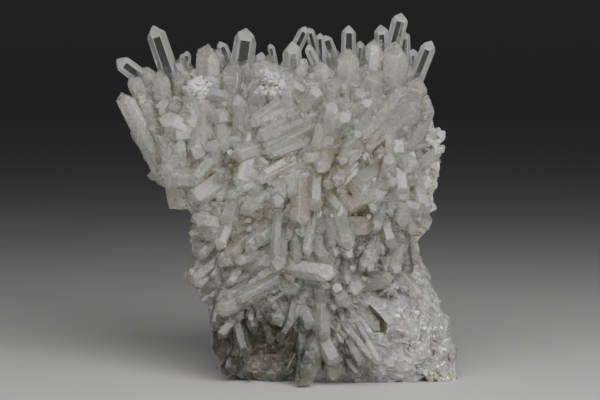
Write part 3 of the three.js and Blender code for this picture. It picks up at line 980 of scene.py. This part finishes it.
# %% Group: growth lines, and group: milk veils
def make_streaks(name, output, stretch, spacing):
    tree, start, end = new_group(name, {"Growth": None, "Spacing": spacing}, output)
    mapping = tree.nodes.new('ShaderNodeMapping')
    mapping.inputs["Scale"].default_value = stretch
    feed(tree, mapping.inputs["Vector"], start.outputs["Growth"])
    placed = in_steps_of(tree, mapping.outputs["Vector"], start.outputs["Spacing"])
    return tree, end, speckle(tree, placed, 1.0, 3.0, 0.6)


growth_lines, end, lines = make_streaks("growth lines", "Height", (0.07, 1.0, 1.0), 0.6)
feed(growth_lines, end.inputs["Height"], lines)
milk_veils, end, streaks = make_streaks("milk veils", "Veil", (1.0, 0.09, 1.0), 1.2)
feed(milk_veils, end.inputs["Veil"], rescale(milk_veils, streaks, 0.34, 0.66))

# %% [markdown]
# Broken quartz looks like coarse sugar close up: tiny facets that tilt every way. This is the same idea
# as `chips` above, done in the shader for facets too small for the mesh.

# %% Group: sugar grain
def make_sugar_grain():
    tree, start, end = new_group("sugar grain", {"Place": None, "Size": 0.0014}, "Height", "Pick")
    placed = in_steps_of(tree, start.outputs["Place"], start.outputs["Size"])
    cells = tree.nodes.new('ShaderNodeTexVoronoi')
    cells.inputs["Scale"].default_value = 1.0
    feed(tree, cells.inputs["Vector"], placed)
    from_seed = vector_math(tree, 'SUBTRACT', placed, cells.outputs["Position"])
    tilt = vector_math(tree, 'SUBTRACT', cells.outputs["Color"], (0.5, 0.5, 0.5))
    slope = vector_math(tree, 'DOT_PRODUCT', from_seed.outputs["Vector"], tilt.outputs["Vector"])
    feed(tree, end.inputs["Height"], slope.outputs["Value"])
    pick = tree.nodes.new('ShaderNodeSeparateColor')
    feed(tree, pick.inputs["Color"], cells.outputs["Color"])
    feed(tree, end.inputs["Pick"], pick.outputs["Red"])
    return tree


sugar_grain = make_sugar_grain()

# %% [markdown]
# The milk in milky quartz is countless bubbles, and they gather in clouds. Iron-stained clay has
# settled in some of the gaps, most of all in a few hollows of the face. A few recesses that lie in
# shadow are painted dark as painted shade. A few patches broke like crushed ice and sparkle, and are
# painted whiter there, partly as painted highlights. All these are masks that follow the place on the stone.

# %% Group: places
def make_places(name, places):
    """A mask that is 1 near each place of the face: x, z and radius in millimetres, and strength."""
    tree, start, end = new_group(name, {"Place": None}, "Mask")
    wobble = speckle(tree, start.outputs["Place"], 160.0, 3.0)
    edge = calculate(tree, 'MULTIPLY_ADD', wobble, 1.2, 0.3)
    total = 0.0
    for x, z, radius, strength in places:
        away = vector_math(tree, 'SUBTRACT', start.outputs["Place"], (x * MM, 0, z * MM))
        flat = vector_math(tree, 'MULTIPLY', away.outputs["Vector"], (1, 0, 1))
        reach = vector_math(tree, 'LENGTH', flat.outputs["Vector"]).outputs["Value"]
        inside = rescale(tree, times(tree, reach, edge), 0.5 * radius * MM, 1.1 * radius * MM, strength, 0.0)
        total = calculate(tree, 'MAXIMUM', inside, total)
    on_face = rescale(tree, split(tree, start.outputs["Place"])["Y"], -0.004, 0.006, 1.0, 0.0)
    feed(tree, end.inputs["Mask"], times(tree, total, on_face))
    return tree


CLAY_PLACES = [
    (42, 115, 10, 0.8), (16, 98, 11, 0.7), (36, 84, 7, 1.0), (-26, 108, 6, 0.8), (-4, 108, 7, 0.8),
    (-26, 70, 5, 0.8), (0, 54, 5, 0.7), (1, 22, 7, 0.5), (-9, 18, 15, 0.3), (44, 30, 5, 0.8),
    (80, 1, 5, 1.0), (72, 2, 5, 0.9), (-14, 82, 6, 0.6), (-24, 76, 5, 0.6), (10, 122, 5, 0.6),
    (18, 108, 8, 0.6), (30, 96, 8, 0.6), (-40, 104, 6, 0.6), (24, 112, 12, 0.6), (8, 88, 10, 0.6),
]
SPARKLING_PLACES = [
    (-44, 146, 8, 1.0), (-8, 149, 9, 1.0), (74, 121, 7, 1.0), (53, 45, 9, 1.0), (66, 22, 12, 0.6),
]
SUGAR_PLACES = [
    (74, 18, 22, 1.0), (56, 44, 14, 1.0), (-44, 146, 9, 1.0), (-8, 149, 10, 1.0), (74, 121, 8, 1.0),
]
# painted shade: the lower left and a few hollows that lie in shadow are painted near-black
SHADED_RECESS_PLACES = [(-10, 15, 24, 1.0), (-28, 14, 20, 0.9), (34, 8, 11, 0.6), (62, 62, 7, 0.6)]
clay_places = make_places("clay places", CLAY_PLACES)
shaded_recess_places = make_places("painted shade places", SHADED_RECESS_PLACES)
sparkling_places = make_places("sparkling places", SPARKLING_PLACES)
sugar_places = make_places("sugar places", SUGAR_PLACES)

# %% Group: clouds, and group: stain
def make_clouds():
    tree, start, end = new_group("milk clouds", {"Place": None, "Size": 0.012}, "Cloud")
    placed = in_steps_of(tree, start.outputs["Place"], start.outputs["Size"])
    soft = speckle(tree, placed, 1.0, 3.0, 0.55)
    feed(tree, end.inputs["Cloud"], rescale(tree, soft, 0.32, 0.68))
    return tree


def make_stain():
    tree, start, end = new_group("clay stain", {"Place": None, "Gap": 0.0, "Near": 0.0}, "Mask")
    wide = speckle(tree, start.outputs["Place"], 28.0, 2.0)
    fine = speckle(tree, start.outputs["Place"], 420.0, 4.0, 0.65)
    patch = rescale(tree, wide, 0.45, 0.65)
    grain = rescale(tree, fine, 0.35, 0.62, 0.35, 1.0)
    shut = rescale(tree, start.outputs["Gap"], 0.30, 0.60)
    anywhere = times(tree, times(tree, patch, shut), 0.4)
    half_shut = rescale(tree, start.outputs["Gap"], 0.05, 0.40, 0.3, 1.0)
    near = times(tree, start.outputs["Near"], half_shut)
    amount = calculate(tree, 'MAXIMUM', anywhere, near)
    feed(tree, end.inputs["Mask"], calculate(tree, 'MULTIPLY', amount, grain, clamp=True))
    return tree


milk_clouds = make_clouds()
clay_stain = make_stain()

# %% [markdown]
# The milky quartz mixes three ways of passing light. Some of it scatters just under the skin, which
# softens every edge. Some passes right through, and what is left shines off the skin. The numbers for
# these are plain values; only colour, roughness and bumps change over the surface. That colour holds
# painted shade on the faces of the points, and painted highlights on worn edges and sparkling patches.
# Massive quartz lets no light through, and where it broke to sugar, some grains flash like little mirrors
# and are painted white as painted glints.

# %% Milky quartz
def use_group(tree, group, **inputs):
    node = tree.nodes.new('ShaderNodeGroup')
    node.node_tree = group
    for label, value in inputs.items():
        feed(tree, node.inputs[label.capitalize()], value)
    return node.outputs


def read_attribute(tree, name):
    node = tree.nodes.new('ShaderNodeAttribute')
    node.attribute_name = name
    return node.outputs["Fac"]


def start_material(name):
    material = bpy.data.materials.new(name)
    material.use_nodes = True
    tree = material.node_tree
    return material, tree, tree.nodes["Principled BSDF"]


def read_place(tree):
    return tree.nodes.new('ShaderNodeTexCoord').outputs["Object"]


def read_growth(tree):
    node = tree.nodes.new('ShaderNodeUVMap')
    node.uv_map = "growth"
    return node.outputs["UV"]


def add_bump(tree, height, depth, below=None, strength=1.0):
    bump = tree.nodes.new('ShaderNodeBump')
    bump.inputs["Strength"].default_value = strength
    bump.inputs["Distance"].default_value = depth
    feed(tree, bump.inputs["Height"], height)
    feed(tree, bump.inputs["Normal"], below)
    return bump.outputs["Normal"]


QUARTZ_IOR = 1.544
MILK_WHITE = (0.97, 0.95, 0.87, 1)
MILK_GREY = (0.60, 0.585, 0.53, 1)
# the white of frosted and worn quartz, and also of painted highlights and glints
EDGE_WHITE = (0.96, 0.96, 0.93, 1)
FROST_GREY = (0.74, 0.74, 0.71, 1)
MASSIVE_GREY = (0.27, 0.266, 0.25, 1)
MASSIVE_WHITE = (0.42, 0.416, 0.40, 1)
MASSIVE_LIGHT = (0.76, 0.75, 0.69, 1)  # between the crystals of the face
CLAY = (0.33, 0.29, 0.19, 1)
CLAY_FILM = (0.72, 0.66, 0.48, 1)
# painted shade: the grey that the gaps are painted with
GAP_SHADE_GREY = (0.58, 0.57, 0.51, 1)
# painted shade: the near-black painted where recesses lie in shadow
PAINTED_RECESS_SHADE = (0.12, 0.11, 0.09, 1)


def set_quartz(skin, transmission, scatter):
    skin.inputs["IOR"].default_value = QUARTZ_IOR
    skin.inputs["Transmission Weight"].default_value = transmission
    skin.inputs["Subsurface Weight"].default_value = 1.0
    skin.inputs["Subsurface Radius"].default_value = (1.0, 0.98, 0.95)
    skin.inputs["Subsurface Scale"].default_value = scatter


def stained_and_shaded(tree, colour, place, gap):
    """The colour with painted shade in the gaps and in a few recesses, and the clay that has settled in the
    gaps.
    """
    # painted shade: the colour turns grey where a point is closed in by its neighbours
    colour = blend_colours(tree, rescale(tree, gap, 0.3, 0.9, 0.0, 0.35), colour, GAP_SHADE_GREY)
    near = use_group(tree, clay_places, place=place)["Mask"]
    colour = blend_colours(tree, times(tree, near, 0.45), colour, CLAY_FILM)
    # painted shade: near-black where the recesses lie in shadow
    recess_shade = times(tree, use_group(tree, shaded_recess_places, place=place)["Mask"], 0.85)
    colour = blend_colours(tree, recess_shade, colour, PAINTED_RECESS_SHADE)
    stain = use_group(tree, clay_stain, place=place, gap=gap, near=near)["Mask"]
    return blend_colours(tree, stain, colour, CLAY)


def make_milky_quartz():
    material, tree, skin = start_material("milky quartz")
    place = read_place(tree)
    growth = read_growth(tree)
    tone = read_attribute(tree, "tone")
    gap = read_attribute(tree, "gap")
    edge = read_attribute(tree, "edge")
    cloud = use_group(tree, milk_clouds, place=place)["Cloud"]
    veil = use_group(tree, milk_veils, growth=growth)["Veil"]
    sparkle = use_group(tree, sparkling_places, place=place)["Mask"]
    bubbles = rescale(tree, speckle(tree, place, 900.0, 3.0, 0.7), 0.44, 0.62)
    milk = rescale(tree, split(tree, place)["Z"], 0.09, 0.15, 0.13, 0.36)
    for share, effect in ((0.15, cloud), (0.35, veil), (0.15, bubbles)):
        milk = calculate(tree, 'MULTIPLY_ADD', effect, share, milk)
    milk = calculate(tree, 'MULTIPLY_ADD', tone, 0.25, milk)
    # painted shade: the faces of the points are painted greyer, to offset the light that falls on them from
    # above
    shaded_point_face = rescale(tree, edge, SIDE, TIP)
    whiteness = calculate(tree, 'MULTIPLY_ADD', shaded_point_face, -0.3, milk, clamp=True)
    colour = blend_colours(tree, whiteness, MILK_GREY, MILK_WHITE)
    # worn edges are whiter, partly as the milky skin of wear and partly as a painted highlight
    colour = blend_colours(tree, rescale(tree, edge, TIP, WORN, 0.0, 0.55), colour, EDGE_WHITE)
    grain = use_group(tree, sugar_grain, place=place)
    # painted highlight: the sparkling patches and a few scattered grains are painted white, partly the white
    # of crushed quartz and partly painted glints
    glint_specks = calculate(tree, 'MAXIMUM', sparkle, rescale(tree, grain["Pick"], 0.94, 0.96))
    colour = blend_colours(tree, times(tree, glint_specks, 0.8), colour, EDGE_WHITE)
    feed(tree, skin.inputs["Base Color"], stained_and_shaded(tree, colour, place, gap))
    lines = use_group(tree, growth_lines, growth=growth)["Height"]
    normal = add_bump(tree, speckle(tree, place, 260.0, 3.0, 0.6), 0.00025)
    normal = add_bump(tree, lines, 0.00007, normal)
    crushed = times(tree, grain["Height"], sparkle)
    feed(tree, skin.inputs["Normal"], add_bump(tree, crushed, 0.0012, normal))
    frost = rescale(tree, speckle(tree, place, 300.0, 3.0), 0.35, 0.65, 0.10, 0.34)
    feed(tree, skin.inputs["Roughness"], frost)
    set_quartz(skin, 0.8, 0.008)
    return material


def make_massive_quartz():
    material, tree, skin = start_material("massive quartz")
    place = read_place(tree)
    # the painted shade and the clay in the gaps are weaker on massive quartz
    gap = times(tree, read_attribute(tree, "gap"), 0.45)
    cloud = use_group(tree, milk_clouds, place=place, size=0.009)["Cloud"]
    grain = use_group(tree, sugar_grain, place=place)
    colour = blend_colours(tree, cloud, MASSIVE_GREY, MASSIVE_WHITE)
    above_foot = rescale(tree, split(tree, place)["Z"], 0.055, 0.085, 0.0, 0.6)
    colour = blend_colours(tree, above_foot, colour, MASSIVE_LIGHT)
    wide = use_group(tree, sugar_grain, place=place, size=0.0034)["Height"]
    normal = add_bump(tree, wide, 0.0012)
    feed(tree, skin.inputs["Normal"], add_bump(tree, grain["Height"], 0.0008, normal))
    feed(tree, skin.inputs["Roughness"], rescale(tree, grain["Pick"], 0.0, 1.0, 0.42, 0.16))
    rough = use_group(tree, sugar_places, place=place)["Mask"]
    # painted glints: in the sugar places some grains are painted white, partly the white of broken grains
    # and partly painted glints; Metallic also makes them flash
    flecks = rescale(tree, grain["Pick"], 0.84, 0.88)
    glint_flecks = times(tree, flecks, times(tree, rough, 0.75))
    colour = blend_colours(tree, glint_flecks, stained_and_shaded(tree, colour, place, gap), EDGE_WHITE)
    feed(tree, skin.inputs["Base Color"], colour)
    feed(tree, skin.inputs["Metallic"], times(tree, glint_flecks, 0.3))
    set_quartz(skin, 0.0, 0.002)
    return material


# %% [markdown]
# The clear points are plain see-through quartz. Their sides are polished towards the point and frosted
# towards the root, where the growth lines crowd together. Their edges and points are worn and milky, so
# they have a second finish, which scatters light.

# %% Clear quartz and its frosted edges
def make_clear_quartz():
    material, tree, skin = start_material("clear quartz")
    growth = read_growth(tree)
    frost = rescale(tree, split(tree, growth)["Y"], 10.0, 30.0, 0.34, 0.06)
    feed(tree, skin.inputs["Roughness"], frost)
    veil = use_group(tree, milk_veils, growth=growth, spacing=0.8)["Veil"]
    lines = use_group(tree, growth_lines, growth=growth, spacing=0.9)["Height"]
    feed(tree, skin.inputs["Normal"], add_bump(tree, lines, 0.00002))
    feed(tree, skin.inputs["Base Color"],
         blend_colours(tree, veil, (0.97, 0.97, 0.96, 1), (0.62, 0.62, 0.60, 1)))
    skin.inputs["IOR"].default_value = QUARTZ_IOR
    skin.inputs["Transmission Weight"].default_value = 0.975
    return material


def make_frosted_quartz():
    material, tree, skin = start_material("frosted quartz")
    place = read_place(tree)
    cloud = use_group(tree, milk_clouds, place=place, size=0.004)["Cloud"]
    feed(tree, skin.inputs["Base Color"], blend_colours(tree, cloud, FROST_GREY, EDGE_WHITE))
    skin.inputs["Roughness"].default_value = 0.34
    set_quartz(skin, 0.78, 0.001)
    return material


# %% [markdown]
# ## The two pieces
#
# Both pieces ride with the stone's one body and together stand for its solid. Each has two materials. A
# mesh forgets which face wears which when its list of materials is cleared, so the second one is given
# out last.

# %% Setting the pieces down
def set_down(name, mesh, *materials):
    mesh.transform(TO_FRAME)
    mesh.name = name
    mesh.materials.clear()
    for material in materials:
        mesh.materials.append(material)
    piece = bpy.data.objects.new(name, mesh)
    bpy.context.scene.collection.objects.link(piece)
    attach(piece, "root")
    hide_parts(NODE)


def second_finish(mesh, **limits):
    """Gives the piece's second material to faces that have an attribute over its limit."""
    chosen = np.zeros(len(mesh.polygons), dtype=bool)
    for label, limit in limits.items():
        chosen |= read_values(mesh.attributes[label].data, "value") > limit
    mesh.polygons.foreach_set("material_index", chosen.astype(int))
    print(mesh.name, "has", chosen.sum(), "faces with its second finish")


set_down("milky_quartz", milky_mesh, make_milky_quartz(), make_massive_quartz())
set_down("clear_points", clear_mesh, make_clear_quartz(), make_frosted_quartz())
second_finish(milky_mesh, massive=0.5)
second_finish(clear_mesh, edge=(SIDE + TIP) / 2, slant=0.2)
